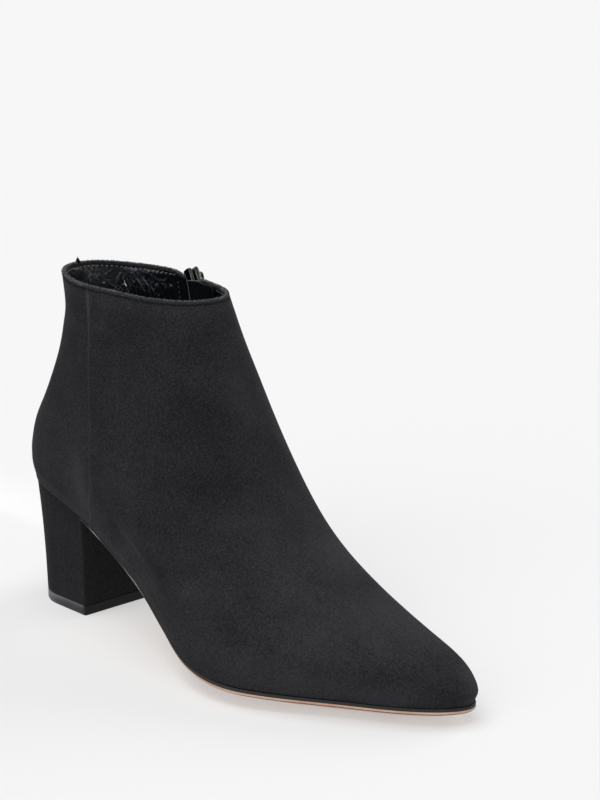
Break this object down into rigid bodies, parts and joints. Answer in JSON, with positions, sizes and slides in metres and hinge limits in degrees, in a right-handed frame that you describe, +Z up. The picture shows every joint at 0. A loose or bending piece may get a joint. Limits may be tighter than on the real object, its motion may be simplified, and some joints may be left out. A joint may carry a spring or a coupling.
{
  "type": "block heel ankle boot",
  "caption": "Black suede ankle boot for the right foot with a pointed toe, a high block heel, a thin leather sole and a zip down the inner side",
  "frame": {"origin": "middle of the heel's ground face, on the floor", "axes": "+X to the toe, +Y to the inner side of the foot, +Z up"},
  "size_m": [0.261, 0.0811, 0.1627],
  "materials": {
    "suede": "black suede with a short mottled nap, smooth black lining inside",
    "heel_suede": "black suede wrapped over the heel block",
    "sole_leather": "smooth tan sole leather with a black dressed edge",
    "rubber": "matte black rubber top piece",
    "lining_leather": "glossy black lining leather with fine wrinkles",
    "zip_cloth": "black woven zip tape",
    "zip_coil": "black plastic coil",
    "gunmetal": "polished gunmetal"
  },
  "bodies": {
    "boot": {"upper": "suede", "outsole": "sole_leather", "heel": "heel_suede", "heel_tip": "rubber", "insole": "lining_leather", "zip_guard": "lining_leather", "zip_tape_front": "zip_cloth", "zip_tape_rear": "zip_cloth", "zip_teeth": "zip_coil", "zip_slider": "gunmetal"},
    "pull": {"zip_pull": "gunmetal"}
  },
  "joints": [
    {"name": "pull_hinge", "type": "hinge", "parent": "boot", "child": "pull", "pos_m": [0.04153, 0.03245, 0.15573], "axis": [0.9768, -0.1328, 0.168], "range_deg": [0, 165]}
  ]
}
